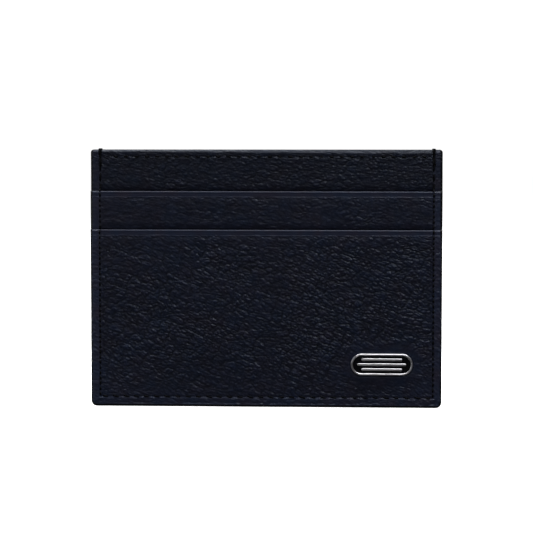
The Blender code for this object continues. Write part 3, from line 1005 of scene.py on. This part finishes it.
def make_lining(name, seed, material):
    """A thin cloth, as long and as wide as the lining in the frame, with a slight wave in it."""
    low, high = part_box(name)
    length, height = high.x - low.x, high.z - low.z
    xs = np.linspace(low.x, high.x, round(length / CLOTH_STEP) + 1)
    zs = np.linspace(low.z, high.z, round(height / CLOTH_STEP) + 1)
    x, z = np.meshgrid(xs, zs)
    wave = 0.03 * MM * noise(x / (8 * MM), z / (8 * MM), seed)
    y = (low.y + high.y) / 2 + wave
    half = (high.y - low.y) / 2
    front = np.stack([x.ravel(), (y - half).ravel(), z.ravel()], axis=1)
    back = np.stack([x.ravel(), (y + half).ravel(), z.ravel()], axis=1)
    faces = grid_faces(*x.shape)
    border = border_of(*x.shape)
    faces = list(faces) + list(faces[:, ::-1] + x.size) + list(ring_faces(border, border + x.size))
    piece = mesh_object(name + "_cloth", np.concatenate([front, back]), faces, material)
    finish_piece(piece, "lining", name)


# ---------------- badge


def capsule_loop(length, height, y, rise=0.0, count=24):
    """Points round a shape with straight sides and half-round ends, anticlockwise from the front."""
    radius = height / 2
    straight = length / 2 - radius
    right = np.radians(np.linspace(-90, 90, count))
    left = np.radians(np.linspace(90, 270, count))
    ends = (straight + radius * np.cos(right), radius * np.cos(left) - straight)
    xs = (badge_low.x + badge_high.x) / 2 + np.concatenate(ends)
    zs = (badge_low.z + badge_high.z) / 2 + rise + radius * np.sin(np.concatenate([right, left]))
    return np.stack([xs, np.full(len(xs), y), zs], axis=1)


def loft_loops(loops):
    """A closed body from loops that run from its back to its front."""
    size = len(loops[0])
    points = np.concatenate(loops)
    faces = [list(range(size))[::-1]]
    for k in range(len(loops) - 1):
        near = k * size + np.arange(size)
        faces += list(ring_faces(near, near + size)[:, ::-1])
    faces.append(list(range((len(loops) - 1) * size, len(loops) * size)))
    return points, faces


def round_bar(length, rise, back, front):
    """A bar whose front is half round."""
    edge = BAR_HEIGHT * 0.48
    loops = [capsule_loop(length, BAR_HEIGHT, back, rise)]
    for turn in np.radians(np.linspace(0, 84, 8)):
        inward = 2 * edge * (1 - math.cos(turn))
        y = front + 0.6 * edge * (1 - math.sin(turn))
        loops.append(capsule_loop(length - inward, BAR_HEIGHT - inward, y, rise))
    return loft_loops(loops)


def rimmed_plate(length, height, back, front):
    """A plate with a half-round rim and a flat recess inside it."""
    loops = [capsule_loop(length - 0.1 * MM, height - 0.1 * MM, back)]
    loops.append(capsule_loop(length, height, back - 0.05 * MM))
    for turn in np.radians(np.linspace(0, 180, 17)):
        inward = BADGE_RIM * (1 - math.cos(turn))
        y = front + 0.5 * BADGE_RIM * (1 - math.sin(turn))
        loops.append(capsule_loop(length - inward, height - inward, y))
    inward = 2 * BADGE_RIM + 0.08 * MM
    loops.append(capsule_loop(length - inward, height - inward, front + BADGE_RECESS))
    return loft_loops(loops)


def make_badge(silver, enamel):
    length, height = badge_high.x - badge_low.x, badge_high.z - badge_low.z
    front, back = badge_low.y, 0.12 * MM - LOWER_DEPTH
    floor = front + BADGE_RECESS
    parts = [rimmed_plate(length, height, back, front)]
    for bar_length, rise in BARS:
        parts.append(round_bar(bar_length, rise, floor + 0.05 * MM, front + 0.04 * MM))
    points, faces = gather(parts)
    piece = mesh_object("badge_silver", points, faces, silver, None, 50)
    finish_piece(piece, "badge_metal", "badge_plate")
    inner = 2 * BADGE_RIM - 0.02 * MM
    loops = [capsule_loop(length - inner, height - inner, floor + 0.02 * MM)]
    for drop, inward in ENAMEL_STEPS:
        shrink = inner + 2 * inward
        loops.append(capsule_loop(length - shrink, height - shrink, front + drop))
    points, faces = loft_loops(loops)
    piece = mesh_object("badge_enamel_fill", points, faces, enamel, None, 50)
    finish_piece(piece, "enamel", "badge_enamel")


# ---------------- studio


def aim(obj, target, roll=0.0):
    direction = Vector(target) - obj.location
    turn = direction.to_track_quat("-Z", "Y").to_matrix().to_4x4()
    obj.rotation_euler = (turn @ Matrix.Rotation(roll, 4, "Z")).to_euler()


def make_camera():
    data = bpy.data.cameras.new("camera")
    data.lens = LENS
    data.sensor_width = SENSOR
    data.clip_start, data.clip_end = 0.01, 50
    camera = bpy.data.objects.new("camera", data)
    bpy.context.scene.collection.objects.link(camera)
    level = math.cos(CAMERA_ELEVATION)
    away = Vector((
        math.sin(CAMERA_AZIMUTH) * level, -math.cos(CAMERA_AZIMUTH) * level, math.sin(CAMERA_ELEVATION),
    ))
    target = Vector(CAMERA_TARGET)
    camera.location = target + away * CAMERA_AWAY
    aim(camera, target, CAMERA_ROLL)
    bpy.context.scene.camera = camera


def area_light(name, place, target, size, power, colour=(1, 1, 1)):
    data = bpy.data.lights.new(name, "AREA")
    data.shape = "RECTANGLE"
    data.size, data.size_y = size
    data.energy = power
    data.color = colour
    light = bpy.data.objects.new(name, data)
    light.location = place
    light.visible_camera = False
    bpy.context.scene.collection.objects.link(light)
    aim(light, target)


def make_floor():
    """A pale floor that only the camera sees."""
    data = bpy.data.meshes.new("floor")
    data.from_pydata([(-3, -3, 0), (3, -3, 0), (3, 3, 0), (-3, 3, 0)], [], [(0, 1, 2, 3)])
    floor = bpy.data.objects.new("floor", data)
    bpy.context.scene.collection.objects.link(floor)
    material, shader = shader_material("pale_floor", (0.9, 0.9, 0.9), 0.9, specular=0.1)
    shader.inputs["Emission Color"].default_value = (1, 1, 1, 1)
    shader.inputs["Emission Strength"].default_value = 0.93
    data.materials.append(material)
    floor.visible_glossy = False
    floor.visible_diffuse = False
    floor.visible_shadow = False


def make_lights():
    """A soft light above, keys and fills on both faces, and one light at each side."""
    cool, middle = (0.93, 0.96, 1.0), (0, 0, 0.04)
    area_light("top_light", (0, -0.05, 0.75), (0, 0, 0.03), (0.9, 0.4), 7.6)
    for name, place, size, power in (
        ("front_key", (0.26, -0.83, 0.60), (0.30, 0.25), 2.5),
        ("front_fill", (-0.50, -0.75, 0.30), (0.4, 0.5), 0.5),
        ("front_rim", (-0.80, -0.42, 0.16), (0.4, 0.3), 0.35),
        ("back_key", (-0.26, 0.83, 0.60), (0.30, 0.25), 2.5),
        ("back_fill", (0.50, 0.75, 0.30), (0.4, 0.5), 1.0),
        ("left_side", (-0.85, 0.31, 0.25), (0.4, 0.4), 6),
        ("right_side", (0.85, 0.31, 0.25), (0.4, 0.4), 6),
    ):
        area_light(name, place, middle, size, power, cool)


def make_world():
    """A room that is white to the camera and dim to everything else, with a brighter floor and ceiling."""
    world = bpy.data.worlds.new("studio")
    bpy.context.scene.world = world
    world.use_nodes = True
    nodes, links = world.node_tree.nodes, world.node_tree.links
    background = nodes["Background"]
    background.inputs["Color"].default_value = (1, 1, 1, 1)
    direction = nodes.new("ShaderNodeTexCoord")
    split = nodes.new("ShaderNodeSeparateXYZ")
    links.new(direction.outputs["Generated"], split.inputs[0])
    height = nodes.new("ShaderNodeMapRange")
    height.inputs["From Min"].default_value = -1
    links.new(split.outputs["Z"], height.inputs["Value"])
    levels = nodes.new("ShaderNodeValToRGB")
    links.new(height.outputs["Result"], levels.inputs["Fac"])
    stops = levels.color_ramp.elements
    glow = ((0.0, 0.13), (0.24, 0.08), (0.38, 0.02), (0.48, 0.03), (0.75, 0.05), (1.0, 0.12))
    for number, (position, level) in enumerate(glow):
        stop = stops[number] if number < 2 else stops.new(position)
        stop.position = position
        stop.color = (level, level, level, 1)
    seen = nodes.new("ShaderNodeLightPath")
    pick = nodes.new("ShaderNodeMix")
    links.new(seen.outputs["Is Camera Ray"], pick.inputs["Factor"])
    links.new(levels.outputs["Color"], pick.inputs["A"])
    pick.inputs["B"].default_value = 1.05
    links.new(pick.outputs["Result"], background.inputs["Strength"])


make_camera()
leather = leather_material()
thread = thread_material()
paint = paint_material()
cloth = lining_material()
silver = silver_material()
enamel = enamel_material()
for face in FACES:
    make_leather(face, leather)
    make_perimeter_stitches(face, thread)
    make_top_stitches(face, thread)
    make_hidden_stitches(face, thread)
linings = [face.name + part for part in ("_panel_lining", "_upper_pocket_lining") for face in FACES]
for number, name in enumerate(linings):
    make_lining(name, 60 + number, cloth)
make_edge_paint(paint)
make_badge(silver, enamel)
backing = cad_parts["badge_backing"]
backing.data.materials.clear()
backing.data.materials.append(steel_material())
make_floor()
make_lights()
make_world()
bpy.context.scene.view_settings.view_transform = "Standard"
